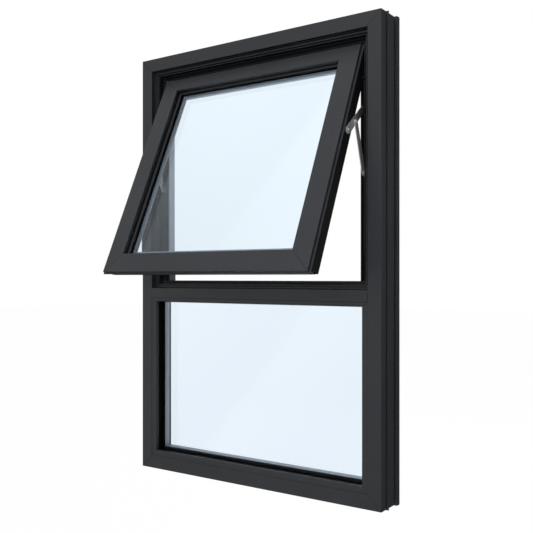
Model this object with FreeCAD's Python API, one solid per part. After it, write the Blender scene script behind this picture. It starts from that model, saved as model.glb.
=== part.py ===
import FreeCAD, Part
import os
from math import radians, sin, cos, hypot

V = FreeCAD.Vector

# Frame: X across the window, Y from outside to inside, Z up, in millimetres.
# The origin is the middle of the sill seat, on the underside of the rear fin.
# Depths below are counted from the outside face of the frame.

# Outer frame, sizes over the body without the fins
frame_width = 780.0
frame_height = 1200.0
frame_face = 37.0
frame_wall = 2.0
fin_out = 3.5
front_block_depth = 25.0
drip_groove_end = 33.0
rib_end = 36.0
rib_out = 3.0
body_depth = 69.0
rear_groove_end = 81.0
frame_depth = 95.0
outer_groove_in = 5.0
leg_front = 36.0
leg_back = 62.0
leg_width = 24.0
rear_wall = 28.0
side_groove_front = 9.0
side_groove_back = 15.0
side_groove_in = 3.0
edge_break = 0.8
mitre_gap = 0.3

# Transom
transom_face_bottom = 499.3
transom_face = 29.0
transom_leg_up = 22.0
transom_leg_down = 11.0
transom_joint_gap = 0.2

# Fixed light in the lower half
pane_thickness = 6.0
gasket_thickness = 2.0
bead_width = 16.5
top_bead_width = 11.0
bead_recess = 1.5
bead_back = 13.0
bead_bevel_in = 3.0
bead_bevel_back = 2.5
pane_edge_gap = 3.0
gasket_cover = 10.0
gasket_set_back = 1.0

# Glazing units: a spacer bar and a thinner inner pane behind each outer pane
unit_edge_gap = 0.6
spacer_wall = 1.4
fixed_cavity = 16.8
fixed_inner_thickness = 4.0
sash_cavity = 7.3
sash_inner_thickness = 3.0

# Sash, with its gaps to the frame when it is shut
stay_gap = 27.7
sash_end_gap = 5.5
sash_face = 53.0
sash_top_face = 37.0
sash_wall = 1.8
flange_out = 5.0
flange_front = 9.0
flange_back = 12.0
sash_edge_depth = 5.0
sash_groove_in = 4.0
sash_depth = 40.0
sash_pane_cover = 12.0
sash_leg_front = 16.0
sash_leg_back = 21.0
sash_leg_in = 7.0
bottom_flange_set_back = 2.5
bottom_web_set_back = 4.0
sash_pane_edge_gap = 2.0
sash_mitre_gap = 0.3

# How the sash opens: from flush with the frame it turns about a line under the head
open_angle = 24.24
shut_face_depth = -6.0
turn_depth = -30.7
turn_below_head = 102.1

# Rebate lip around the upper opening, side channels on the stiles and side liners
lip_front = 18.0
lip_width = 12.0
lip_slot = 3.0
lip_slot_back = 24.0
channel_inset = 0.5
channel_end_gap = 9.0
channel_top_over = 3.0
liner_width = 14.0
liner_clear = 3.0
liner_lip = 2.5
liner_fin_clear = 0.5
seal_height = 7.0
seal_thickness = 2.0

# Friction stays
track_width = 11.0
track_middle = 27.0
track_height = 3.0
track_wall = 1.2
track_below_head = 46.5
track_length = 330.0
plate = 2.5
plate_gap = 0.3
arm_below_sash_top = 236.0
arm_sash_depth = 23.0
slider_below_head = 191.0
arm_end_r = 9.5
arm_slider_r = 8.4
knee_depth = -13.0
knee_below_head = 228.2
foot_above_track_end = 29.5
strut_end_r = 8.2
strut_half = 6.8
pin_r = 3.0
shoe_length = 34.0
heel_below_sash_top = 78.5

# Handle inside, on the bottom rail
handle_s = 31.0
handle_base_length = 62.0
handle_base_height = 20.0
handle_base_thickness = 9.0
handle_neck_r = 8.0
handle_neck_length = 12.0
handle_grip_length = 108.0
handle_grip_height = 18.0
handle_grip_thickness = 10.0

# Places worked out from the sizes above
body_bottom = fin_out
body_top = fin_out + frame_height
half_width = frame_width / 2
open_half = half_width - frame_face
leg_half = open_half - leg_width
transom_bottom = body_bottom + transom_face_bottom
transom_top = transom_bottom + transom_face
vent_bottom = transom_top
vent_top = body_top - frame_face
seat_middle = (rear_groove_end + frame_depth) / 2
lean = radians(open_angle)
sash_out = open_half - stay_gap
sash_half = sash_out - flange_out
shut_bottom = vent_bottom + sash_end_gap + flange_out
sash_face_height = vent_top - vent_bottom - 2 * (sash_end_gap + flange_out)
turn_z = vent_top - turn_below_head

os.makedirs("parts", exist_ok=True)


def save(name, shape):
    """Write one piece, moved so that the origin lies on the sill seat."""
    placed = shape.copy()
    placed.translate(V(0, -seat_middle, 0))
    placed.exportStep("parts/" + name + ".step")


def prism(points, run):
    """A flat outline of 3-D points pushed along a vector."""
    wire = Part.makePolygon([V(*p) for p in points] + [V(*points[0])])
    return Part.Face(wire).extrude(V(*run))


def block(x0, x1, y0, y1, z0, z1):
    return Part.makeBox(x1 - x0, y1 - y0, z1 - z0, V(x0, y0, z0))


def chamber(u0, u1, d0, d1):
    """A hollow inside a section, as its four corners."""
    return [(u0, d0), (u1, d0), (u1, d1), (u0, d1)]


def side_bar(section, side, half_x, z_low, z_high, gap, hollows=(), reach=100.0, top_share=1.0):
    """One mitred bar of a rectangle: section points are (inwards, depth).

    The bar at the top is narrower than the others by top_share, so its mitres lean.
    """
    mid_z = (z_low + z_high) / 2
    half_z = (z_high - z_low) / 2
    over = 30.0
    depths = [p[1] for p in section]
    front = min(depths) - 1
    deep = max(depths) - min(depths) + 2
    ends = [(-over, -1), (reach, -1), (reach, 1), (-over, 1)]
    shares = {"top": (1 / top_share, 1 / top_share), "bottom": (1, 1)}
    low_share, high_share = shares.get(side, (1, top_share))
    if side == "top":
        section = [(u * top_share, d) for u, d in section]
        hollows = [[(u * top_share, d) for u, d in hollow] for hollow in hollows]

    def inset(u, way):
        share = high_share if way > 0 else low_share
        return u * share + gap / 2 * (1 + share ** 2) ** 0.5

    if side in ("bottom", "top"):
        sign = 1 if side == "bottom" else -1
        edge = z_low if side == "bottom" else z_high
        run = (2 * (half_x + over), 0, 0)
        bars = [prism([(-half_x - over, d, edge + sign * u) for u, d in outline], run)
                for outline in [section, *hollows]]
        cut = [(way * (half_x - inset(u, way)), front, edge + sign * u) for u, way in ends]
    else:
        sign = 1 if side == "left" else -1
        edge = -half_x if side == "left" else half_x
        run = (0, 0, 2 * (half_z + over))
        bars = [prism([(edge + sign * u, d, mid_z - half_z - over) for u, d in outline], run)
                for outline in [section, *hollows]]
        cut = [(edge + sign * u, front, mid_z + way * (half_z - inset(u, way))) for u, way in ends]
    bar = bars[0].common(prism(cut, (0, deep, 0)))
    return bar.cut(bars[1:]) if hollows else bar


def ring(half_x, z_low, z_high, start, end, front, back, top_share=1.0):
    """A rectangular ring between two distances in from the edges of an opening."""
    outer = block(-half_x + start, half_x - start, front, back,
                  z_low + start, z_high - start * top_share)
    hole = block(-half_x + end, half_x - end, front - 1, back + 1,
                 z_low + end, z_high - end * top_share)
    return outer.cut(hole)


def opened(shape):
    """Set a shape drawn on the sash into the shut frame, then turn it open."""
    moved = shape.copy()
    moved.translate(V(0, shut_face_depth, shut_bottom))
    moved.rotate(V(0, turn_depth, turn_z), V(1, 0, 0), -open_angle)
    return moved


def opened_point(below_top, depth):
    """Depth and height, in the frame, of a point on the open sash."""
    y = shut_face_depth + depth - turn_depth
    z = shut_bottom + sash_face_height - below_top - turn_z
    return turn_depth + y * cos(lean) + z * sin(lean), turn_z - y * sin(lean) + z * cos(lean)


# Outer frame: one extruded section, mitred at the four corners
frame_section = [
    (edge_break, 0), (frame_face - edge_break, 0), (frame_face, edge_break),
    (frame_face, side_groove_front),
    (frame_face - side_groove_in, side_groove_front),
    (frame_face - side_groove_in, side_groove_back),
    (frame_face, side_groove_back), (frame_face, leg_front),
    (frame_face + leg_width - edge_break, leg_front),
    (frame_face + leg_width, leg_front + edge_break),
    (frame_face + leg_width, leg_back), (rear_wall, leg_back),
    (rear_wall, frame_depth), (-fin_out, frame_depth),
    (-fin_out, rear_groove_end), (outer_groove_in, rear_groove_end),
    (outer_groove_in, body_depth), (0, body_depth), (0, rib_end),
    (-rib_out, rib_end), (-rib_out, drip_groove_end),
    (outer_groove_in, drip_groove_end), (outer_groove_in, front_block_depth),
    (0, front_block_depth), (0, edge_break)]
chamber_out = outer_groove_in + frame_wall
frame_hollows = [
    chamber(chamber_out, frame_face - side_groove_in - frame_wall, frame_wall, leg_front - frame_wall),
    chamber(chamber_out, frame_face + leg_width - frame_wall, leg_front + frame_wall, leg_back - frame_wall),
    chamber(chamber_out, rear_wall - frame_wall, leg_back + frame_wall, frame_depth - frame_wall)]
frame_names = {"top": "frame_head", "bottom": "frame_sill",
               "left": "frame_left_jamb", "right": "frame_right_jamb"}
for side, name in frame_names.items():
    bar = side_bar(frame_section, side, half_width, body_bottom, body_top, mitre_gap, frame_hollows)
    save(name, bar)

# Transom between the jambs: a front box with two rebate legs behind it
transom_front = [
    (0, edge_break, transom_bottom), (0, 0, transom_bottom + edge_break),
    (0, 0, transom_top - edge_break), (0, edge_break, transom_top),
    (0, side_groove_front, transom_top),
    (0, side_groove_front, transom_top - side_groove_in),
    (0, side_groove_back, transom_top - side_groove_in),
    (0, side_groove_back, transom_top), (0, leg_front, transom_top),
    (0, leg_front, transom_bottom), (0, side_groove_back, transom_bottom),
    (0, side_groove_back, transom_bottom + side_groove_in),
    (0, side_groove_front, transom_bottom + side_groove_in),
    (0, side_groove_front, transom_bottom)]
front_half = open_half - transom_joint_gap
transom = prism([(-front_half, d, z) for _, d, z in transom_front], (2 * front_half, 0, 0))
rear_half = leg_half - transom_joint_gap
leg_high = transom_top + transom_leg_up
leg_low = transom_bottom - transom_leg_down
transom_rear = [
    (leg_front, leg_low), (leg_front, leg_high - edge_break),
    (leg_front + edge_break, leg_high), (leg_back, leg_high), (leg_back, leg_low)]
transom = transom.fuse(prism([(-rear_half, d, z) for d, z in transom_rear], (2 * rear_half, 0, 0)))
front_hollow = block(
    -front_half - 1, front_half + 1, frame_wall, leg_front - frame_wall,
    transom_bottom + side_groove_in + frame_wall, transom_top - side_groove_in - frame_wall)
rear_hollow = block(
    -rear_half - 1, rear_half + 1, leg_front + frame_wall, leg_back - frame_wall,
    leg_low + frame_wall, leg_high - frame_wall)
save("frame_transom", transom.removeSplitter().cut([front_hollow, rear_hollow]))

# Fixed light: pane against the rear legs, beads pressed in from outside
pane_back = leg_front - gasket_thickness
pane_front = pane_back - pane_thickness
light_low = body_bottom + frame_face
light_high = transom_bottom
save("fixed_pane", block(
    -open_half + pane_edge_gap, open_half - pane_edge_gap, pane_front, pane_back,
    light_low + pane_edge_gap, light_high - pane_edge_gap))
bead_share = top_bead_width / bead_width
gasket_end = bead_width - gasket_set_back
save("fixed_inner_gasket", ring(
    open_half, light_low, light_high, bead_width - gasket_cover, gasket_end,
    pane_back, leg_front, bead_share))
save("fixed_outer_gasket", ring(
    open_half, light_low, light_high, bead_width - gasket_cover, gasket_end,
    bead_back, pane_front, bead_share))
bead_section = [
    (0, bead_recess), (bead_width - bead_bevel_in, bead_recess),
    (bead_width, bead_recess + bead_bevel_back), (bead_width, bead_back), (0, bead_back)]
for side in ("top", "bottom", "left", "right"):
    bar = side_bar(bead_section, side, open_half, light_low, light_high, mitre_gap, top_share=bead_share)
    save("fixed_bead_" + side, bar)

# Rest of the fixed glazing unit, between the rear legs
unit_low = light_low + leg_width
fixed_inner_front = pane_back + fixed_cavity
fixed_inner_back = fixed_inner_front + fixed_inner_thickness
save("fixed_spacer", ring(
    leg_half, unit_low, leg_low, unit_edge_gap, unit_edge_gap + spacer_wall,
    pane_back, fixed_inner_front))
save("fixed_inner_pane", block(
    -leg_half + unit_edge_gap, leg_half - unit_edge_gap, fixed_inner_front, fixed_inner_back,
    unit_low + unit_edge_gap, leg_low - unit_edge_gap))

# Rebate lip clipped around the upper opening, with a narrow slot at its root
lip_section = [
    (0, lip_slot_back), (lip_slot, lip_slot_back), (lip_slot, lip_front),
    (lip_width - edge_break, lip_front), (lip_width, lip_front + edge_break),
    (lip_width, leg_front), (0, leg_front)]
lip_names = {"top": "vent_lip_head", "bottom": "vent_lip_sill",
             "left": "vent_lip_left", "right": "vent_lip_right"}
for side, name in lip_names.items():
    save(name, side_bar(lip_section, side, open_half, vent_bottom, vent_top, mitre_gap))

# Side liners in the upper opening, their tops cut away along the back of the open sash,
# with a thin fin beside the sash that runs on up to the head
back_reach = shut_face_depth + sash_depth + liner_clear - turn_depth


def sash_back(y):
    """Height at which the clear space behind the open sash begins, at one depth."""
    along = (y - turn_depth - back_reach * cos(lean)) / sin(lean)
    return turn_z - back_reach * sin(lean) + along * cos(lean)


liner_low = leg_high
liner_top = sash_back(leg_back)
cut_front = leg_front - 10
cut_back = leg_back + 10
swing = prism([
    (-half_width, cut_front, sash_back(cut_front)), (-half_width, cut_back, sash_back(cut_back)),
    (-half_width, cut_back, body_top), (-half_width, cut_front, body_top)], (frame_width, 0, 0))
for way, name in ((-1, "left"), (1, "right")):
    outer = leg_half
    inner = leg_half - liner_width
    outline = [
        (way * outer, leg_front, liner_low), (way * (inner + liner_lip), leg_front, liner_low),
        (way * inner, leg_front + liner_lip, liner_low), (way * inner, leg_back, liner_low),
        (way * outer, leg_back, liner_low)]
    liner = prism(outline, (0, 0, liner_top - liner_low)).cut(swing)
    fin_inner = sash_out + liner_fin_clear
    if leg_half - fin_inner > liner_fin_clear:
        liner = liner.fuse(block(
            min(way * fin_inner, way * outer), max(way * fin_inner, way * outer),
            leg_front, leg_back, liner_low, vent_top - leg_width)).removeSplitter()
    save("vent_liner_" + name, liner)
    seal_x = way * (inner + liner_lip + seal_height / 2)
    seal = block(
        seal_x - seal_height / 2, seal_x + seal_height / 2, leg_front - seal_thickness, leg_front,
        liner_low, liner_top)
    save("vent_seal_" + name, seal.cut(swing))
head_seal = vent_top - (lip_width + leg_width) / 2
sill_seal = vent_bottom + (lip_width + transom_leg_up) / 2
save("vent_seal_head", block(
    -leg_half, leg_half, leg_front - seal_thickness, leg_front,
    head_seal - seal_height / 2, head_seal + seal_height / 2))
save("vent_seal_sill", block(
    -leg_half + 1, leg_half - 1, leg_front - seal_thickness, leg_front,
    sill_seal - seal_height / 2, sill_seal + seal_height / 2))

# Sash rails and stiles, drawn closed and then turned open
web_in = flange_out + sash_groove_in
sash_in = flange_out + sash_face
sash_leg_tip = sash_in + sash_leg_in
web_back = sash_in - sash_pane_cover
sash_share = (flange_out + sash_top_face) / sash_in


def sash_profile(flange_start, web_start):
    """Section of a sash bar: face, glazing leg, rear box, side web and side flange."""
    outline = [
        (flange_out + edge_break, 0), (sash_in - edge_break, 0), (sash_in, edge_break),
        (sash_in, sash_leg_front), (sash_leg_tip - edge_break, sash_leg_front),
        (sash_leg_tip, sash_leg_front + edge_break), (sash_leg_tip, sash_leg_back),
        (web_back, sash_leg_back), (web_back, sash_depth), (web_start, sash_depth),
        (web_start, flange_back), (flange_start, flange_back), (flange_start, flange_front),
        (web_in, flange_front), (web_in, sash_edge_depth), (flange_out, sash_edge_depth),
        (flange_out, edge_break)]
    inside = web_start + sash_wall
    hollows = [
        chamber(inside, sash_in - sash_wall, sash_wall, sash_leg_back - sash_wall),
        chamber(inside, web_back - sash_wall, sash_leg_back, sash_depth - sash_wall)]
    return outline, hollows


sash_low = -flange_out
sash_high = sash_face_height + flange_out
corner_cuts = [
    block(-sash_out - 1, sash_out + 1, sash_edge_depth, flange_back + 1,
          sash_low - 1, sash_low + bottom_flange_set_back),
    block(-sash_out - 1, sash_out + 1, flange_back, sash_depth + 1,
          sash_low - 1, sash_low + web_in + bottom_web_set_back)]
sash_names = {"top": "sash_top_rail", "bottom": "sash_bottom_rail",
              "left": "sash_left_stile", "right": "sash_right_stile"}
for side, name in sash_names.items():
    if side == "bottom":
        outline, hollows = sash_profile(bottom_flange_set_back, web_in + bottom_web_set_back)
    else:
        outline, hollows = sash_profile(0, web_in)
    bar = side_bar(outline, side, sash_out, sash_low, sash_high, sash_mitre_gap, hollows,
                   top_share=sash_share)
    if side in ("left", "right"):
        bar = bar.cut(corner_cuts)
    save(name, opened(bar))

# Sash pane with gaskets, held by beads from inside
sash_pane_front = sash_leg_back + gasket_thickness
sash_pane_back = sash_pane_front + pane_thickness
sash_bead_front = sash_pane_back + gasket_thickness
pane_inset = web_back + sash_pane_edge_gap
save("sash_pane", opened(block(
    -sash_out + pane_inset, sash_out - pane_inset, sash_pane_front, sash_pane_back,
    sash_low + pane_inset, sash_high - pane_inset * sash_share)))
gasket_tip = sash_leg_tip - gasket_set_back
save("sash_outer_gasket", opened(ring(
    sash_out, sash_low, sash_high, pane_inset, gasket_tip,
    sash_leg_back, sash_pane_front, sash_share)))
save("sash_inner_gasket", opened(ring(
    sash_out, sash_low, sash_high, pane_inset, gasket_tip,
    sash_pane_back, sash_bead_front, sash_share)))
unit_start = sash_leg_tip + unit_edge_gap
sash_inner_front = sash_pane_back + sash_cavity
sash_inner_back = sash_inner_front + sash_inner_thickness
save("sash_spacer", opened(ring(
    sash_out, sash_low, sash_high, unit_start, unit_start + spacer_wall,
    sash_pane_back, sash_inner_front, sash_share)))
save("sash_inner_pane", opened(block(
    -sash_out + unit_start, sash_out - unit_start, sash_inner_front, sash_inner_back,
    sash_low + unit_start, sash_high - unit_start * sash_share)))
bead_inner = [
    (web_back, sash_bead_front), (sash_leg_tip, sash_bead_front),
    (sash_leg_tip, sash_depth - bead_bevel_back), (sash_leg_tip - bead_bevel_in, sash_depth),
    (web_back, sash_depth)]
for side in ("top", "bottom", "left", "right"):
    bar = side_bar(bead_inner, side, sash_out, sash_low, sash_high, sash_mitre_gap,
                   top_share=sash_share)
    save("sash_bead_" + side, opened(bar))

# Channels along the outside of the stiles, where the stays are fixed
for way, name in ((-1, "left"), (1, "right")):
    outer = way * (sash_out - channel_inset)
    inner = way * (sash_out - web_in)
    save("sash_channel_" + name, opened(block(
        min(outer, inner), max(outer, inner), flange_back, sash_depth,
        channel_end_gap, sash_face_height + channel_top_over)))


def plate_between(p, q, r_p, r_q, x_low, thick):
    """A flat link with round ends, lying across the X direction."""
    length = hypot(q[0] - p[0], q[1] - p[1])
    ux, uz = (q[0] - p[0]) / length, (q[1] - p[1]) / length
    lean_in = (r_p - r_q) / length
    rise = (1 - lean_in ** 2) ** 0.5
    corners = []
    for (cy, cz), r, way in ((p, r_p, 1), (q, r_q, 1), (q, r_q, -1), (p, r_p, -1)):
        ny = ux * lean_in - way * uz * rise
        nz = uz * lean_in + way * ux * rise
        corners.append((x_low, cy + r * ny, cz + r * nz))
    body = prism(corners, (thick, 0, 0))
    for (cy, cz), r in ((p, r_p), (q, r_q)):
        body = body.fuse(Part.makeCylinder(r, thick, V(x_low, cy, cz), V(1, 0, 0)))
    return body.removeSplitter()


def pin(y, z, r, x_low, x_high):
    return Part.makeCylinder(r, x_high - x_low, V(x_low, y, z), V(1, 0, 0))


# Friction stays, drawn on the right and mirrored to the left
stay_x = sash_out - channel_inset
arm_x = stay_x + plate_gap
strut_x = arm_x + plate + plate_gap
lip_half = open_half - lip_width
track_x = lip_half - track_height
track_top = vent_top - track_below_head
track_bottom = track_top - track_length
arm_pivot = opened_point(arm_below_sash_top, arm_sash_depth)
slider = (track_middle, vent_top - slider_below_head)
knee = (knee_depth, vent_top - knee_below_head)
foot = (track_middle, track_bottom + foot_above_track_end)
heel_rise = shut_bottom + sash_face_height - heel_below_sash_top - turn_z
heel_reach = (track_middle - turn_depth - heel_rise * sin(lean)) / cos(lean)
heel = opened_point(heel_below_sash_top, heel_reach + turn_depth - shut_face_depth)

channel_front = track_middle - track_width / 2
channel_back = track_middle + track_width / 2
track = block(track_x, lip_half, channel_front, channel_back, track_bottom, track_top)
track = track.cut(block(
    track_x - 1, lip_half - track_wall, channel_front + track_wall, channel_back - track_wall,
    track_bottom - 1, track_top + 1))
arm = plate_between(arm_pivot, slider, arm_end_r, arm_slider_r, arm_x, plate)
arm = arm.fuse(pin(arm_pivot[0], arm_pivot[1], pin_r, stay_x, arm_x + plate + 1.2))
strut = plate_between(foot, knee, strut_end_r, strut_half, strut_x, plate)
strut = strut.fuse(pin(knee[0], knee[1], pin_r, arm_x + plate, strut_x + plate + 1.2))


def shoe(y, z, reach_x):
    """A block sliding in the track with a pin that reaches the link."""
    foot_low = channel_front + track_wall + plate_gap
    foot_high = channel_back - track_wall - plate_gap
    body = block(track_x - 2, lip_half - track_wall, foot_low, foot_high,
                 z - shoe_length / 2, z + shoe_length / 2)
    return body.fuse(pin(y, z, pin_r, reach_x, track_x - 1)).removeSplitter()


pieces = {
    "stay_track": track,
    "stay_arm": arm.removeSplitter(),
    "stay_strut": strut.removeSplitter(),
    "stay_slider": shoe(slider[0], slider[1], arm_x + plate),
    "stay_foot": shoe(foot[0], foot[1], strut_x + plate),
    "stay_heel": shoe(heel[0], heel[1], stay_x)}
for name, shape in pieces.items():
    save(name + "_right", shape)
    save(name + "_left", shape.mirror(V(0, 0, 0), V(1, 0, 0)))

# Handle on the inside of the bottom rail
base = block(-handle_base_length / 2, handle_base_length / 2,
             sash_depth, sash_depth + handle_base_thickness,
             handle_s - handle_base_height / 2, handle_s + handle_base_height / 2)
upright = [e for e in base.Edges if abs(e.tangentAt(e.FirstParameter).y) > 0.9]
base = base.makeFillet(handle_base_height / 2 - 1, upright)
save("handle_base", opened(base))
neck_front = sash_depth + handle_base_thickness
lever = Part.makeCylinder(handle_neck_r, handle_neck_length, V(0, neck_front, handle_s), V(0, 1, 0))
grip_front = neck_front + handle_neck_length - 2
grip = block(-handle_neck_r - 2, handle_grip_length, grip_front, grip_front + handle_grip_thickness,
             handle_s - handle_grip_height / 2, handle_s + handle_grip_height / 2)
ends = [e for e in grip.Edges if abs(e.tangentAt(e.FirstParameter).y) > 0.9]
grip = grip.makeFillet(handle_grip_height / 2 - 0.5, ends)
save("handle_lever", opened(lever.fuse(grip).removeSplitter()))
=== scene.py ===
from math import cos, radians, sin

import bpy
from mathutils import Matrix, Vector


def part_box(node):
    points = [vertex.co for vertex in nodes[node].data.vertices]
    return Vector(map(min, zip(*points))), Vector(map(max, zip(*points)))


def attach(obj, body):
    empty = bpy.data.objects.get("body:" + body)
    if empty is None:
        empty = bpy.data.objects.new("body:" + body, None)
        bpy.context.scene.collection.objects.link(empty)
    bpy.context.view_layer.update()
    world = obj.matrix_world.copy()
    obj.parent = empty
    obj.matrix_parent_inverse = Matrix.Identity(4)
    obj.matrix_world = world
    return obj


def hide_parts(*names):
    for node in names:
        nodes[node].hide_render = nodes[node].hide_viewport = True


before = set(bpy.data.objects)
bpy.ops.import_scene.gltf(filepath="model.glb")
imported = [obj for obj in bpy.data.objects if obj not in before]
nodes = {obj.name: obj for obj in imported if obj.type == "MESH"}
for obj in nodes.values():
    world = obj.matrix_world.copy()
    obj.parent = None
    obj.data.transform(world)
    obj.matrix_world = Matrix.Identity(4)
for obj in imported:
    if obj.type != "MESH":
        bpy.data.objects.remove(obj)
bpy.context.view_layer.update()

bpy.ops.object.select_all(action="DESELECT")

# Outer frame and transom: extruded aluminium bars, mitred and crimped at the corners, powder
# coated in a satin anthracite before they are put together. The coat has a fine orange peel,
# its edges are rounded by the thickness of the film, and its undersides carry painted shade.


def powder_coat(name, dark, light, gloss, shine=0.3):
    coat = bpy.data.materials.new(name)
    coat.use_nodes = True
    tree = coat.node_tree
    shader = tree.nodes["Principled BSDF"]
    place = tree.nodes.new("ShaderNodeTexCoord")
    cloud = tree.nodes.new("ShaderNodeTexNoise")
    cloud.inputs["Scale"].default_value = 5.0
    cloud.inputs["Detail"].default_value = 4.0
    tone = tree.nodes.new("ShaderNodeValToRGB")
    tone.color_ramp.elements[0].position = 0.3
    tone.color_ramp.elements[0].color = (*dark, 1)
    tone.color_ramp.elements[1].position = 0.7
    tone.color_ramp.elements[1].color = (*light, 1)
    peel = tree.nodes.new("ShaderNodeTexNoise")
    peel.inputs["Scale"].default_value = 900.0
    peel.inputs["Detail"].default_value = 2.0
    sheen = tree.nodes.new("ShaderNodeMapRange")
    sheen.inputs["To Min"].default_value = gloss - 0.05
    sheen.inputs["To Max"].default_value = gloss + 0.07
    bump = tree.nodes.new("ShaderNodeBump")
    bump.inputs["Strength"].default_value = 0.12
    bump.inputs["Distance"].default_value = 0.00025
    for noise in (cloud, peel):
        tree.links.new(place.outputs["Object"], noise.inputs["Vector"])
    tree.links.new(cloud.outputs["Fac"], tone.inputs["Fac"])
    tree.links.new(tone.outputs["Color"], shader.inputs["Base Color"])
    tree.links.new(peel.outputs["Fac"], sheen.inputs["Value"])
    tree.links.new(sheen.outputs["Result"], shader.inputs["Roughness"])
    tree.links.new(peel.outputs["Fac"], bump.inputs["Height"])
    tree.links.new(bump.outputs["Normal"], shader.inputs["Normal"])
    shader.inputs["Specular IOR Level"].default_value = shine
    return coat


def shade_by_facing(coat, axis, share):
    tree = coat.node_tree
    base = tree.nodes["Principled BSDF"].inputs["Base Color"]
    colour = base.links[0].from_socket
    facing = tree.nodes.new("ShaderNodeSeparateXYZ")
    shade = tree.nodes.new("ShaderNodeMapRange")
    for socket, value in (("From Min", -0.9), ("From Max", -0.5), ("To Min", share), ("To Max", 1.0)):
        shade.inputs[socket].default_value = value
    shaded = tree.nodes.new("ShaderNodeVectorMath")
    shaded.operation = "MULTIPLY"
    tree.links.new(tree.nodes["Texture Coordinate"].outputs["Normal"], facing.inputs[0])
    tree.links.new(facing.outputs[axis], shade.inputs["Value"])
    tree.links.new(colour, shaded.inputs[0])
    tree.links.new(shade.outputs["Result"], shaded.inputs[1])
    tree.links.new(shaded.outputs["Vector"], base)


def dress(names, finish):
    for name in names:
        piece = nodes[name]
        piece.data.materials.clear()
        piece.data.materials.append(finish)


def round_edges(names, width):
    for name in names:
        weld = nodes[name].modifiers.new("joined_faces", "WELD")
        weld.merge_threshold = 0.00001
        bevel = nodes[name].modifiers.new("rounded_edges", "BEVEL")
        bevel.width = width
        bevel.segments = 2
        bevel.limit_method = "ANGLE"
        bevel.angle_limit = radians(35)
        flats = nodes[name].modifiers.new("flat_faces", "WEIGHTED_NORMAL")
        flats.mode = "FACE_AREA"
        flats.weight = 100


frame_bars = ["frame_head", "frame_sill", "frame_left_jamb", "frame_right_jamb", "frame_transom"]
coat_rounding = 0.0004
frame_coat = powder_coat("frame_coat", dark=(0.0218, 0.0236, 0.0268),
                         light=(0.0264, 0.0284, 0.0320), gloss=0.42)
# Painted shade: faces that look downwards are darkened to 0.12 of the coat's colour.
shade_by_facing(frame_coat, axis="Z", share=0.12)
dress(frame_bars, frame_coat)

# Fixed light: a clear float pane with a pale blue cast, bedded on black rubber
# gaskets and held from outside by four snap-in beads with the same coat as the frame.


def black_rubber(name, dark, light):
    rubber = bpy.data.materials.new(name)
    rubber.use_nodes = True
    tree = rubber.node_tree
    shader = tree.nodes["Principled BSDF"]
    place = tree.nodes.new("ShaderNodeTexCoord")
    grain = tree.nodes.new("ShaderNodeTexNoise")
    grain.inputs["Scale"].default_value = 350.0
    grain.inputs["Detail"].default_value = 3.0
    tone = tree.nodes.new("ShaderNodeValToRGB")
    tone.color_ramp.elements[0].color = (dark, dark, dark, 1)
    tone.color_ramp.elements[1].color = (light, light, light * 1.1, 1)
    bump = tree.nodes.new("ShaderNodeBump")
    bump.inputs["Strength"].default_value = 0.2
    bump.inputs["Distance"].default_value = 0.0003
    tree.links.new(place.outputs["Object"], grain.inputs["Vector"])
    tree.links.new(grain.outputs["Fac"], tone.inputs["Fac"])
    tree.links.new(tone.outputs["Color"], shader.inputs["Base Color"])
    tree.links.new(grain.outputs["Fac"], bump.inputs["Height"])
    tree.links.new(bump.outputs["Normal"], shader.inputs["Normal"])
    shader.inputs["Roughness"].default_value = 0.6
    shader.inputs["Specular IOR Level"].default_value = 0.06
    return rubber


def pale_glass(name, tint, ior):
    glass = bpy.data.materials.new(name)
    glass.use_nodes = True
    tree = glass.node_tree
    shader = tree.nodes["Principled BSDF"]
    place = tree.nodes.new("ShaderNodeTexCoord")
    haze = tree.nodes.new("ShaderNodeTexNoise")
    haze.inputs["Scale"].default_value = 2.5
    cast = tree.nodes.new("ShaderNodeValToRGB")
    cast.color_ramp.elements[0].color = (*[value * 0.99 for value in tint], 1)
    cast.color_ramp.elements[1].color = (*tint, 1)
    tree.links.new(place.outputs["Object"], haze.inputs["Vector"])
    tree.links.new(haze.outputs["Fac"], cast.inputs["Fac"])
    tree.links.new(cast.outputs["Color"], shader.inputs["Base Color"])
    shader.inputs["Transmission Weight"].default_value = 1.0
    shader.inputs["Roughness"].default_value = 0.0
    shader.inputs["IOR"].default_value = ior
    return glass


bead_names = ["fixed_bead_top", "fixed_bead_bottom", "fixed_bead_left", "fixed_bead_right"]
dress(bead_names, frame_coat)
round_edges(frame_bars + bead_names, coat_rounding)
seal_rubber = black_rubber("seal_rubber", dark=0.0015, light=0.0040)
dress(["fixed_inner_gasket", "fixed_outer_gasket"], seal_rubber)
pane_ior = 1.38
dress(["fixed_pane"], pale_glass("fixed_glass", (0.842, 0.922, 0.998), pane_ior))

# Glazing unit of the fixed light: behind the outer pane a bright aluminium spacer bar, roll
# formed with a seam groove along its middle, keeps a thin inner sheet apart from it. A band
# of black sealant runs round the edge of the unit.


def flat_ring(name, half, low, high, front, back, width):
    bpy.ops.object.select_all(action="DESELECT")
    middle = (0, front, (low + high) / 2)
    bpy.ops.mesh.primitive_plane_add(size=1, location=middle, rotation=(radians(90), 0, 0))
    ring = bpy.context.object
    ring.name = name
    ring.scale = (2 * half, high - low, 1)
    bpy.ops.object.transform_apply()
    bpy.ops.object.mode_set(mode="EDIT")
    bpy.ops.mesh.select_all(action="SELECT")
    bpy.ops.mesh.inset(thickness=width)
    bpy.ops.mesh.delete(type="FACE")
    bpy.ops.mesh.select_all(action="SELECT")
    bpy.ops.mesh.extrude_region_move(TRANSFORM_OT_translate={"value": (0, back - front, 0)})
    bpy.ops.mesh.select_all(action="SELECT")
    bpy.ops.mesh.normals_make_consistent(inside=False)
    bpy.ops.object.mode_set(mode="OBJECT")
    return ring


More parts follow.
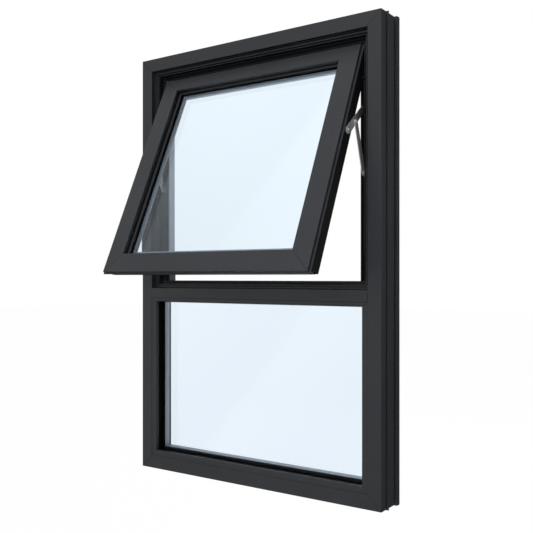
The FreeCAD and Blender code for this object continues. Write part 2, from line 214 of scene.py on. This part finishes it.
def pick_faces(piece, test):
    bpy.ops.object.mode_set(mode="OBJECT")
    for vertex in piece.data.vertices:
        vertex.select = False
    for edge in piece.data.edges:
        edge.select = False
    for face in piece.data.polygons:
        face.select = bool(test(face.center, face.normal))
    bpy.ops.object.mode_set(mode="EDIT")
    bpy.ops.mesh.select_mode(type="FACE")


def spacer_bar(name, half, low, high, front, back, wall):
    bar = flat_ring(name, half, low, high, front, back, wall)
    groove_half, groove_depth = 0.0009, 0.0007
    middle = (front + back) / 2
    centre = (low + high) / 2
    for depth in (middle - groove_half, middle + groove_half):
        bpy.ops.object.mode_set(mode="EDIT")
        bpy.ops.mesh.select_all(action="SELECT")
        bpy.ops.mesh.bisect(plane_co=(0, depth, 0), plane_no=(0, 1, 0))

    def inner_middle(at, normal):
        rise = at.z - centre
        inward = normal.x * at.x < -0.1 * abs(at.x) or normal.z * rise < -0.1 * abs(rise)
        return inward and abs(at.y - middle) < groove_half / 2

    pick_faces(bar, inner_middle)
    sink = {"value": -groove_depth, "use_even_offset": True}
    bpy.ops.mesh.extrude_region_shrink_fatten(TRANSFORM_OT_shrink_fatten=sink)
    bpy.ops.object.mode_set(mode="OBJECT")
    return bar


def bright_aluminium(name):
    metal = bpy.data.materials.new(name)
    metal.use_nodes = True
    tree = metal.node_tree
    shader = tree.nodes["Principled BSDF"]
    place = tree.nodes.new("ShaderNodeTexCoord")
    drawn = tree.nodes.new("ShaderNodeTexNoise")
    drawn.inputs["Scale"].default_value = 160.0
    drawn.inputs["Detail"].default_value = 3.0
    tone = tree.nodes.new("ShaderNodeValToRGB")
    tone.color_ramp.elements[0].color = (0.70, 0.73, 0.77, 1)
    tone.color_ramp.elements[1].color = (0.80, 0.83, 0.87, 1)
    tree.links.new(place.outputs["Object"], drawn.inputs["Vector"])
    tree.links.new(drawn.outputs["Fac"], tone.inputs["Fac"])
    tree.links.new(tone.outputs["Color"], shader.inputs["Base Color"])
    shader.inputs["Metallic"].default_value = 0.4
    shader.inputs["Roughness"].default_value = 0.5
    return metal


spacer_metal = bright_aluminium("spacer_metal")
unit_low, unit_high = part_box("fixed_spacer")
spacer = spacer_bar("fixed_spacer_bar", half=unit_high.x, low=unit_low.z, high=unit_high.z,
                    front=unit_low.y, back=unit_high.y, wall=0.0014)
spacer.data.materials.append(spacer_metal)
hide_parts("fixed_spacer")
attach(spacer, "root")
inner_glass = pale_glass("inner_glass", (0.990, 0.994, 0.999), pane_ior)
dress(["fixed_inner_pane"], inner_glass)
sealant_band = 0.0006
sealant = flat_ring("fixed_unit_sealant", half=unit_high.x + sealant_band,
                    low=unit_low.z - sealant_band, high=unit_high.z + sealant_band,
                    front=unit_low.y, back=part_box("fixed_inner_pane")[1].y, width=sealant_band)
sealant.data.materials.append(seal_rubber)
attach(sealant, "root")
dress(["fixed_spacer"], spacer_metal)

# Upper opening: a clipped rebate strip all round, near black as painted shade for the recess and
# greyer along the sill, with a thin tail behind the seals and two raised coated ribs. On each jamb a
# grey liner closes the gap beside the sash. Its front edge and lower end carry painted shade, and
# the rest of it above is painted light.


def shade_by_height(coat, start, end, low, high):
    tree = coat.node_tree
    base = tree.nodes["Principled BSDF"].inputs["Base Color"]
    colour = base.links[0].from_socket
    height = tree.nodes.new("ShaderNodeSeparateXYZ")
    share = tree.nodes.new("ShaderNodeMapRange")
    share.interpolation_type = "SMOOTHSTEP"
    for socket, value in (("From Min", start), ("From Max", end), ("To Min", low), ("To Max", high)):
        share.inputs[socket].default_value = value
    shaded = tree.nodes.new("ShaderNodeVectorMath")
    shaded.operation = "MULTIPLY"
    tree.links.new(tree.nodes["Texture Coordinate"].outputs["Object"], height.inputs[0])
    tree.links.new(height.outputs["Z"], share.inputs["Value"])
    tree.links.new(colour, shaded.inputs[0])
    tree.links.new(share.outputs["Result"], shaded.inputs[1])
    tree.links.new(shaded.outputs["Vector"], base)


side_low, side_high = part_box("vent_lip_right")
sill_low, sill_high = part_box("vent_lip_sill")
head_low, head_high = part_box("vent_lip_head")
rib_height = 0.006
tail_thickness = 0.0006
tail_tuck = 0.002
strip_width = side_high.x - side_low.x
strip_front = side_low.y + rib_height
# Painted shade: the strip is near black to stand in for the shade in the recess, and up to 3.4 times
# greyer along the sill.
painted_shade_lip = powder_coat("painted_shade_lip", dark=(0.0060, 0.0064, 0.0072),
                        light=(0.0090, 0.0096, 0.0106), gloss=0.5, shine=0.12)
shade_by_height(painted_shade_lip, start=sill_high.z + 0.0022, end=sill_high.z + 0.0162, low=3.4, high=1.0)
lip_names = ["vent_lip_head", "vent_lip_sill", "vent_lip_left", "vent_lip_right"]
dress(lip_names, painted_shade_lip)
strip = flat_ring("rebate_strip", half=side_high.x, low=sill_low.z, high=head_high.z,
                  front=strip_front, back=side_high.y, width=strip_width)
strip.data.materials.append(painted_shade_lip)
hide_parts(*lip_names)
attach(strip, "root")
tail = flat_ring("rebate_strip_tail", half=side_low.x, low=sill_high.z - tail_tuck, high=head_low.z,
                 front=side_high.y - tail_thickness, back=side_high.y, width=strip_width)
tail.data.materials.append(painted_shade_lip)
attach(tail, "root")
for name, inset, width in (("rebate_rib_outer", 0.0012, 0.0050),
                           ("rebate_rib_inner", 0.0102, 0.0018)):
    rib = flat_ring(name, half=side_high.x - inset, low=sill_low.z + inset, high=head_high.z - inset,
                    front=side_low.y, back=strip_front, width=width)
    soft = rib.modifiers.new("soft_edges", "BEVEL")
    soft.width = coat_rounding
    soft.segments = 2
    bpy.ops.object.modifier_apply(modifier="soft_edges")
    bpy.ops.object.shade_smooth_by_angle(angle=radians(40))
    rib.data.materials.append(frame_coat)
    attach(rib, "root")
liner_grey = powder_coat("liner_grey", dark=(0.067, 0.074, 0.082),
                         light=(0.081, 0.089, 0.098), gloss=0.5, shine=0.15)
# Painted shade on the liner's front edge and lower end. Above z 0.65 it is 4.6 times lighter, as
# painted light from above.
shade_by_facing(liner_grey, axis="Y", share=0.035)
shade_by_height(liner_grey, start=0.585, end=0.650, low=1.0, high=4.6)
dress(["vent_liner_left", "vent_liner_right"], liner_grey)

# Weather seal of the upper opening: extruded rubber with a flat foot pressed into the frame
# and a soft round bead on it, which the shut sash flattens. The length on the sill is greyer.


def bead_seal(node, rubber):
    low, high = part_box(node)
    head_clearance = 0.0046
    foot_share = 0.45
    if "left" in node or "right" in node:
        high.z -= head_clearance
    size = high - low
    foot_middle = (low + high) / 2 + Vector((0, size.y * (1 - foot_share) / 2, 0))
    bpy.ops.object.select_all(action="DESELECT")
    bpy.ops.mesh.primitive_cube_add(size=1, location=foot_middle)
    seal = bpy.context.object
    seal.name = node.replace("vent_seal", "bead_seal")
    seal.scale = (size.x, size.y * foot_share, size.z)
    bpy.ops.object.transform_apply()
    pick_faces(seal, lambda at, normal: normal.y < -0.9)
    bpy.ops.mesh.inset(thickness=min(size.x, size.z) * 0.17)
    bead_out = (0, -size.y * (1 - foot_share), 0)
    bpy.ops.mesh.extrude_region_move(TRANSFORM_OT_translate={"value": bead_out})
    bpy.ops.object.mode_set(mode="OBJECT")
    soft = seal.modifiers.new("round_bead", "BEVEL")
    soft.width = 0.0008
    soft.segments = 3
    bpy.ops.object.modifier_apply(modifier="round_bead")
    bpy.ops.object.shade_smooth_by_angle(angle=radians(40))
    seal.data.materials.append(rubber)
    dress([node], rubber)
    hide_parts(node)
    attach(seal, "root")


for side in ("head", "left", "right"):
    bead_seal("vent_seal_" + side, seal_rubber)
bead_seal("vent_seal_sill", black_rubber("sill_rubber", dark=0.014, light=0.024))

# Sash: four mitred bars with a side flange, in a lighter copy of the same powder coat, painted
# light for its lean up to the sky, with the glazing unit bedded on gaskets and beads inside. The
# steps behind the front face, beside the glass and along the flange, lie in shade, which is painted
# into the coat so that it darkens with depth there.


def shade_rebate(coat, outward, face, reach):
    tree = coat.node_tree
    base = tree.nodes["Principled BSDF"].inputs["Base Color"]
    colour = base.links[0].from_socket
    place = tree.nodes["Texture Coordinate"]
    turned_out = tree.nodes.new("ShaderNodeVectorMath")
    along_depth = tree.nodes.new("ShaderNodeVectorMath")
    for product in (turned_out, along_depth):
        product.operation = "DOT_PRODUCT"
        product.inputs[1].default_value = outward
    facing = tree.nodes.new("ShaderNodeMapRange")
    facing.inputs["From Min"].default_value = 0.5
    facing.inputs["From Max"].default_value = 0.9
    depth = tree.nodes.new("ShaderNodeMapRange")
    depth.inputs["From Min"].default_value = face
    depth.inputs["From Max"].default_value = face - reach
    rebate = tree.nodes.new("ShaderNodeValToRGB")
    steps = rebate.color_ramp.elements
    for step, position in zip(steps, (0.03, 0.70)):
        step.position = position
        step.color = (1, 1, 1, 1)
    for position in (0.27, 0.60):
        steps.new(position).color = (0.06, 0.06, 0.06, 1)
    lit = tree.nodes.new("ShaderNodeMath")
    lit.operation = "MAXIMUM"
    shaded = tree.nodes.new("ShaderNodeVectorMath")
    shaded.operation = "MULTIPLY"
    tree.links.new(place.outputs["Normal"], turned_out.inputs[0])
    tree.links.new(turned_out.outputs["Value"], facing.inputs["Value"])
    tree.links.new(place.outputs["Object"], along_depth.inputs[0])
    tree.links.new(along_depth.outputs["Value"], depth.inputs["Value"])
    tree.links.new(depth.outputs["Result"], rebate.inputs["Fac"])
    tree.links.new(facing.outputs["Result"], lit.inputs[0])
    tree.links.new(rebate.outputs["Color"], lit.inputs[1])
    tree.links.new(colour, shaded.inputs[0])
    tree.links.new(lit.outputs[0], shaded.inputs[1])
    tree.links.new(shaded.outputs["Vector"], base)


sash_tilt = radians(24.24)
sash_foot = (0, -0.31053, 0.57819)
# Painted light: the sash coat is a lighter copy of the frame coat. shade_rebate adds painted shade in
# its rebates.
sash_coat = powder_coat("sash_coat", dark=(0.0334, 0.0358, 0.0400),
                        light=(0.0400, 0.0426, 0.0474), gloss=0.4, shine=0.20)
shade_rebate(sash_coat, outward=(0, -cos(sash_tilt), sin(sash_tilt)), face=0.5207, reach=0.040)
sash_bars = ["sash_top_rail", "sash_bottom_rail", "sash_left_stile", "sash_right_stile",
             "sash_bead_top", "sash_bead_bottom", "sash_bead_left", "sash_bead_right"]
dress(sash_bars, sash_coat)
round_edges(sash_bars, coat_rounding)
dress(["sash_outer_gasket", "sash_inner_gasket"], seal_rubber)
dress(["sash_pane"], pale_glass("sash_glass", (0.835, 0.927, 0.998), pane_ior))


def set_in_sash(piece):
    bpy.ops.object.select_all(action="DESELECT")
    piece.select_set(True)
    bpy.context.view_layer.objects.active = piece
    piece.rotation_euler = (-sash_tilt, 0, 0)
    piece.location = sash_foot
    bpy.ops.object.transform_apply()


unit_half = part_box("sash_spacer")[1].x
unit_foot, unit_head = 0.0606, 0.57121
unit_front, unit_gap, inner_sheet = 0.0290, 0.0073, 0.0030
spacer = spacer_bar("sash_spacer_bar", half=unit_half, low=unit_foot, high=unit_head,
                    front=unit_front, back=unit_front + unit_gap, wall=0.0085)
spacer.data.materials.append(spacer_metal)
set_in_sash(spacer)
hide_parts("sash_spacer")
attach(spacer, "root")
sealant = flat_ring("sash_unit_sealant", half=unit_half + sealant_band,
                    low=unit_foot - sealant_band, high=unit_head + sealant_band, front=unit_front,
                    back=unit_front + unit_gap + inner_sheet, width=sealant_band)
sealant.data.materials.append(seal_rubber)
set_in_sash(sealant)
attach(sealant, "root")
dress(["sash_inner_pane"], inner_glass)
dress(["sash_spacer"], spacer_metal)

# Side channels and tracks: black plastic strips let into the stiles and fixed along the jambs,
# which carry the friction stays.
channel_black = black_rubber("channel_black", dark=0.0050, light=0.0125)
dress(["sash_channel_left", "sash_channel_right",
       "stay_track_left", "stay_track_right"], channel_black)

# Friction stays: stamped stainless links on black shoes that run in the tracks. The links carry
# painted shade near the track, the wide arms much more of it than the struts.


def brushed_steel(name, track_shade):
    steel = bpy.data.materials.new(name)
    steel.use_nodes = True
    tree = steel.node_tree
    shader = tree.nodes["Principled BSDF"]
    place = tree.nodes.new("ShaderNodeTexCoord")
    along = tree.nodes.new("ShaderNodeMapping")
    along.inputs["Scale"].default_value = (40, 900, 60)
    streak = tree.nodes.new("ShaderNodeTexNoise")
    streak.inputs["Scale"].default_value = 1.0
    tone = tree.nodes.new("ShaderNodeValToRGB")
    tone.color_ramp.elements[0].color = (0.46, 0.46, 0.47, 1)
    tone.color_ramp.elements[1].color = (0.64, 0.64, 0.65, 1)
    tree.links.new(place.outputs["Object"], along.inputs["Vector"])
    tree.links.new(along.outputs["Vector"], streak.inputs["Vector"])
    tree.links.new(streak.outputs["Fac"], tone.inputs["Fac"])
    depth = tree.nodes.new("ShaderNodeSeparateXYZ")
    share = tree.nodes.new("ShaderNodeMapRange")
    for socket, value in (("From Min", -0.112), ("From Max", -0.082),
                          ("To Min", 1.0), ("To Max", track_shade)):
        share.inputs[socket].default_value = value
    shaded = tree.nodes.new("ShaderNodeVectorMath")
    shaded.operation = "MULTIPLY"
    tree.links.new(place.outputs["Object"], depth.inputs[0])
    tree.links.new(depth.outputs["Y"], share.inputs["Value"])
    tree.links.new(tone.outputs["Color"], shaded.inputs[0])
    tree.links.new(share.outputs["Result"], shaded.inputs[1])
    tree.links.new(shaded.outputs["Vector"], shader.inputs["Base Color"])
    shader.inputs["Metallic"].default_value = 0.6
    shader.inputs["Roughness"].default_value = 0.45
    return steel


# Painted shade near the track: the struts keep 0.9 of their tone there, the arms 0.3.
stay_steel = brushed_steel("stay_steel", track_shade=0.9)
dress(["stay_strut_left", "stay_strut_right"], stay_steel)
dress(["stay_arm_left", "stay_arm_right"], brushed_steel("arm_steel", track_shade=0.3))
dress(["stay_slider_left", "stay_slider_right", "stay_foot_left", "stay_foot_right",
       "stay_heel_left", "stay_heel_right"], channel_black)

# Rivets of the stays: domed steel heads with a turned ring, closed over the pivots.
bpy.ops.object.select_all(action="DESELECT")
rivet_radius, rivet_base = 0.0046, 0.0008
bpy.ops.mesh.primitive_cylinder_add(vertices=32, radius=rivet_radius, depth=rivet_base,
                                    rotation=(0, radians(90), 0))
rivet = bpy.context.object
bpy.ops.object.transform_apply()
pick_faces(rivet, lambda at, normal: normal.x > 0.9)
bpy.ops.mesh.inset(thickness=0.0008)
bpy.ops.mesh.extrude_region_move(TRANSFORM_OT_translate={"value": (0.0006, 0, 0)})
bpy.ops.mesh.inset(thickness=0.0009)
bpy.ops.transform.translate(value=(0.0004, 0, 0))
bpy.ops.mesh.inset(thickness=0.0012)
bpy.ops.transform.translate(value=(0.0002, 0, 0))
bpy.ops.object.mode_set(mode="OBJECT")
turned = rivet.modifiers.new("turned_edges", "BEVEL")
turned.width = 0.0002
turned.segments = 2
bpy.ops.object.modifier_apply(modifier="turned_edges")
bpy.ops.object.shade_smooth_by_angle(angle=radians(35))
rivet.data.materials.append(stay_steel)
arm_low, arm_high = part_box("stay_arm_right")
strut_low, strut_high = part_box("stay_strut_right")
foot_low, foot_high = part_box("stay_foot_right")
arm_end, strut_end = 0.0095, 0.0068
foot_middle = (foot_low + foot_high) / 2
pivots = (("sash", arm_high.x, arm_low.y + arm_end, arm_low.z + arm_end),
          ("knee", strut_high.x, strut_low.y + strut_end, strut_high.z - strut_end),
          ("foot", strut_high.x, foot_middle.y, foot_middle.z))
for pivot, out, y, z in pivots:
    for side, way in (("right", 1), ("left", -1)):
        head = rivet.copy()
        head.data = rivet.data.copy()
        head.name = "rivet_" + pivot + "_" + side
        bpy.context.scene.collection.objects.link(head)
        bpy.ops.object.select_all(action="DESELECT")
        head.select_set(True)
        bpy.context.view_layer.objects.active = head
        head.scale = (way, 1, 1)
        head.location = (way * (out - rivet_base), y, z)
        bpy.ops.object.transform_apply()
        bpy.ops.object.mode_set(mode="EDIT")
        bpy.ops.mesh.select_all(action="SELECT")
        bpy.ops.mesh.normals_make_consistent(inside=False)
        bpy.ops.object.mode_set(mode="OBJECT")
        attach(head, "root")
bpy.data.objects.remove(rivet)

# Handle inside the bottom rail: a die-cast plate with rounded ends and two screw caps,
# a round neck, and a lever that thins towards its tip, coated to match the sash.


def rounded_block(name, low, high, corner, edge):
    low, high = Vector(low), Vector(high)
    bpy.ops.object.select_all(action="DESELECT")
    bpy.ops.mesh.primitive_cube_add(size=1, location=(low + high) / 2)
    cast = bpy.context.object
    cast.name = name
    cast.scale = high - low
    bpy.ops.object.transform_apply()
    bpy.ops.object.mode_set(mode="EDIT")
    bpy.ops.mesh.select_all(action="DESELECT")
    bpy.ops.mesh.select_mode(type="EDGE")
    bpy.ops.object.mode_set(mode="OBJECT")
    for line in cast.data.edges:
        start, end = (cast.data.vertices[index].co for index in line.vertices)
        line.select = abs(start.x - end.x) + abs(start.z - end.z) < 0.0001
    bpy.ops.object.mode_set(mode="EDIT")
    bpy.ops.mesh.bevel(offset=corner, segments=8)
    bpy.ops.object.mode_set(mode="OBJECT")
    soft = cast.modifiers.new("soft_edges", "BEVEL")
    soft.width = edge
    soft.segments = 4
    soft.limit_method = "ANGLE"
    soft.angle_limit = radians(50)
    bpy.ops.object.modifier_apply(modifier="soft_edges")
    return cast


handle_level = 0.031
plate_face = 0.049
neck_middle = 0.05475
lever_back = 0.061
handle_coat = powder_coat("handle_coat", dark=(0.0225, 0.0233, 0.0252),
                          light=(0.0275, 0.0284, 0.0306), gloss=0.36)
plate = rounded_block("handle_plate", low=(-0.031, 0.040, 0.021), high=(0.031, plate_face, 0.041),
                      corner=0.0095, edge=0.002)
pick_faces(plate, lambda at, normal: normal.y > 0.99 and at.y > plate_face - 0.0005)
bpy.ops.mesh.inset(thickness=0.0016)
bpy.ops.transform.translate(value=(0, -0.0005, 0))
bpy.ops.object.mode_set(mode="OBJECT")
plate_pieces = [plate]
for across in (-0.0215, 0.0215):
    bpy.ops.object.select_all(action="DESELECT")
    bpy.ops.mesh.primitive_cylinder_add(vertices=28, radius=0.0042, depth=0.0010,
                                        location=(across, plate_face - 0.0002, handle_level),
                                        rotation=(radians(-90), 0, 0))
    cap = bpy.context.object
    bpy.ops.object.transform_apply()
    pick_faces(cap, lambda at, normal: normal.y > 0.9)
    bpy.ops.mesh.inset(thickness=0.0006)
    bpy.ops.transform.translate(value=(0, 0.0004, 0))
    bpy.ops.mesh.inset(thickness=0.0020)
    bpy.ops.transform.translate(value=(0, 0.0002, 0))
    bpy.ops.object.mode_set(mode="OBJECT")
    plate_pieces.append(cap)
bpy.ops.mesh.primitive_cylinder_add(vertices=40, radius=0.0080, depth=0.0125,
                                    location=(0, neck_middle, handle_level),
                                    rotation=(radians(-90), 0, 0))
neck = bpy.context.object
bpy.ops.object.transform_apply()
pick_faces(neck, lambda at, normal: normal.y < -0.9)
bpy.ops.mesh.extrude_region_move(TRANSFORM_OT_translate={"value": (0, 0, 0)})
bpy.ops.transform.resize(value=(1.16, 1, 1.16), center_override=(0, plate_face, handle_level))
bpy.ops.object.mode_set(mode="OBJECT")
plate_pieces.append(neck)
bpy.ops.object.select_all(action="DESELECT")
for piece in plate_pieces:
    piece.select_set(True)
bpy.context.view_layer.objects.active = plate
bpy.ops.object.join()
bpy.ops.object.shade_smooth_by_angle(angle=radians(35))
lever = rounded_block("handle_grip", low=(-0.010, lever_back, 0.022), high=(0.108, 0.071, 0.040),
                      corner=0.0085, edge=0.0035)
taper_start, taper_length = 0.012, 0.096
for across in (taper_start, 0.036, 0.060, 0.084):
    bpy.ops.object.mode_set(mode="EDIT")
    bpy.ops.mesh.select_all(action="SELECT")
    bpy.ops.mesh.bisect(plane_co=(across, 0, 0), plane_no=(1, 0, 0))
bpy.ops.object.mode_set(mode="OBJECT")
for point in lever.data.vertices:
    thin = max(0.0, (point.co.x - taper_start) / taper_length)
    bow = 0.0022 * thin * thin
    point.co.z = handle_level + (point.co.z - handle_level) * (1 - 0.22 * thin)
    point.co.y = lever_back + (point.co.y - lever_back) * (1 - 0.25 * thin) + bow
bpy.ops.object.shade_smooth_by_angle(angle=radians(35))
for piece, node in ((plate, "handle_base"), (lever, "handle_lever")):
    piece.data.materials.clear()
    piece.data.materials.append(handle_coat)
    set_in_sash(piece)
    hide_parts(node)
    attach(piece, "root")
dress(["handle_base", "handle_lever"], handle_coat)

# Studio: a plain pale floor well below the window, which hangs in its wall, a surround that is
# plain white to the eye and through glass, and five soft round lamps, three in front and two
# behind. In mirrored light the surround is dimmer behind on the right, up on the left and
# low down, and it has two slanting edges in front, which the panes mirror.
bpy.ops.mesh.primitive_plane_add(size=60, location=(0, 0, -0.9))
floor = bpy.context.object
floor.name = "floor"
floor.visible_glossy = False
pale = bpy.data.materials.new("pale_floor")
pale.use_nodes = True
ground = pale.node_tree
floor_shader = ground.nodes["Principled BSDF"]
floor_shader.inputs["Base Color"].default_value = (0.8, 0.8, 0.8, 1)
floor_shader.inputs["Roughness"].default_value = 0.9
seen = ground.nodes.new("ShaderNodeLightPath")
either = ground.nodes.new("ShaderNodeMath")
either.operation = "MAXIMUM"
share = ground.nodes.new("ShaderNodeMath")
share.operation = "MULTIPLY"
share.inputs[1].default_value = 0.985
white = ground.nodes.new("ShaderNodeEmission")
choose = ground.nodes.new("ShaderNodeMixShader")
ground.links.new(seen.outputs["Is Camera Ray"], either.inputs[0])
ground.links.new(seen.outputs["Is Transmission Ray"], either.inputs[1])
ground.links.new(either.outputs[0], share.inputs[0])
ground.links.new(share.outputs[0], choose.inputs[0])
ground.links.new(floor_shader.outputs[0], choose.inputs[1])
ground.links.new(white.outputs[0], choose.inputs[2])
ground.links.new(choose.outputs[0], ground.nodes["Material Output"].inputs[0])
floor.data.materials.append(pale)

surround = bpy.data.worlds.new("studio")
bpy.context.scene.world = surround
surround.use_nodes = True
sky = surround.node_tree
backdrop = sky.nodes["Background"]
backdrop.inputs["Color"].default_value = (1, 1, 1, 1)
way = sky.nodes.new("ShaderNodeTexCoord")


def surround_step(direction, start, end, low, high):
    toward = sky.nodes.new("ShaderNodeVectorMath")
    toward.operation = "DOT_PRODUCT"
    toward.inputs[1].default_value = direction
    step = sky.nodes.new("ShaderNodeMapRange")
    step.interpolation_type = "SMOOTHSTEP"
    for socket, value in (("From Min", start), ("From Max", end), ("To Min", low), ("To Max", high)):
        step.inputs[socket].default_value = value
    sky.links.new(way.outputs["Generated"], toward.inputs[0])
    sky.links.new(toward.outputs["Value"], step.inputs["Value"])
    return step.outputs[0]


def combine(kind, first, second):
    result = sky.nodes.new("ShaderNodeMath")
    result.operation = kind
    for socket, value in zip(result.inputs, (first, second)):
        if isinstance(value, float):
            socket.default_value = value
        else:
            sky.links.new(value, socket)
    return result.outputs[0]


# Each step fades the mirrored surround from one level to another towards one direction.
behind = surround_step((0.55, 0.835, 0.0), 0.40, 0.88, 1.0, 0.04)
back_left = combine("MULTIPLY", surround_step((-1.0, 0.0, 0.0), 0.0, 0.35, 0.0, 1.0),
                    surround_step((0.0, 1.0, 0.0), 0.25, 0.6, 0.0, 1.0))
down_back = combine("MULTIPLY", back_left, surround_step((0.0, 0.0, 1.0), -0.15, 0.0, 0.9, 0.0))
behind = combine("MULTIPLY", behind, combine("SUBTRACT", 1.0, down_back))
above_left = combine("ADD", surround_step((-0.62, -0.42, 0.66), 0.78, 0.93, 1.0, 0.76),
                     surround_step((-0.8, 0.0, 0.6), 0.85, 0.97, 0.0, 0.70))
sash_edge = combine("MULTIPLY", surround_step((0.6207, -0.784, 0.0042), -0.006, 0.008, 0.0, 1.0),
                    surround_step((0.0, 0.0, 1.0), 0.56, 0.74, 0.10, 0.28))
below = surround_step((0.0, 0.0, 1.0), -0.02, 0.12, 1.0, 0.0)
slant = (0.7023, -0.4048, -0.5856)
fixed_edge = combine("MULTIPLY", surround_step(slant, -0.006, 0.008, 0.0, 0.75),
                     surround_step(slant, 0.015, 0.12, 1.0, 0.0))
far_left = surround_step(slant, -0.16, -0.02, 1.0, 0.0)
low_front = combine("MULTIPLY", combine("ADD", fixed_edge, far_left), below)
low_front = combine("MULTIPLY", low_front, surround_step((0.0, -1.0, 0.0), 0.3, 0.6, 0.0, 1.0))
rise = surround_step((0.0, 0.0, 1.0), -0.30, 0.32, 0.12, 1.12)
left_fade = surround_step((-1.0, 0.0, 0.0), 0.42, 0.78, 1.22, 0.50)
sheen_level = combine("MULTIPLY", combine("MULTIPLY", behind, above_left),
                      combine("MULTIPLY", rise, left_fade))
sheen_level = combine("ADD", sheen_level, combine("ADD", sash_edge, low_front))
# Glossy faces meet the faded surround, matt faces a dimmer one, and the eye plain white.
seen = sky.nodes.new("ShaderNodeLightPath")
gloss = sky.nodes.new("ShaderNodeMix")
met_gloss = combine("MINIMUM", seen.outputs["Glossy Depth"], 1.0)
met_matt = combine("MINIMUM", seen.outputs["Diffuse Depth"], 1.0)
sky.links.new(combine("SUBTRACT", met_gloss, met_matt), gloss.inputs[0])
sky.links.new(surround_step((0.9, 0.43, 0.0), -0.5, 0.3, 0.34, 0.05), gloss.inputs[2])
sky.links.new(sheen_level, gloss.inputs[3])
level = sky.nodes.new("ShaderNodeMix")
level.inputs[3].default_value = 1.0
clear = combine("MAXIMUM", seen.outputs["Is Camera Ray"], seen.outputs["Is Transmission Ray"])
clear = combine("SUBTRACT", clear, combine("MAXIMUM", met_gloss, met_matt))
sky.links.new(clear, level.inputs[0])
sky.links.new(gloss.outputs[0], level.inputs[2])
sky.links.new(level.outputs[0], backdrop.inputs["Strength"])

lamp_table = (
    ("front_lamp", 3.4, 46, (0.1, -6.5, 4.0), 62, 1),
    ("near_lamp", 1.4, 34, (1.2, -2.8, 0.7), 88, 22),
    ("low_lamp", 2.4, 68, (0.8, -5.5, 0.2), 92, 8),
    ("back_lamp", 1.2, 100, (2.4, 2.9, 1.2), 80, 146),
    ("rear_lamp", 3.0, 230, (-1.6, 5.5, 2.6), 70, 197),
)
for name, width, power, place, tilt, turn in lamp_table:
    lamp = bpy.data.lights.new(name, "AREA")
    lamp.shape = "DISK"
    lamp.size = width
    lamp.energy = power
    holder = bpy.data.objects.new(name, lamp)
    bpy.context.scene.collection.objects.link(holder)
    holder.location = place
    holder.rotation_euler = (radians(tilt), 0, radians(turn))
    holder.visible_glossy = False
    holder.visible_transmission = False

# Camera: level, at the height of the transom, with the verticals kept upright.
lens = bpy.data.cameras.new("camera")
picture_width = 533
focal_pixels = 748.57
horizon_pixels = 10.5
lens.lens = focal_pixels / picture_width * lens.sensor_width
lens.shift_y = horizon_pixels / picture_width
viewer = bpy.data.objects.new("camera", lens)
bpy.context.scene.collection.objects.link(viewer)
viewer.location = (1.1796, -1.7050, 0.5639)
viewer.rotation_euler = (radians(90), 0, radians(34.746))
bpy.context.scene.camera = viewer
bpy.context.scene.view_settings.view_transform = "Standard"
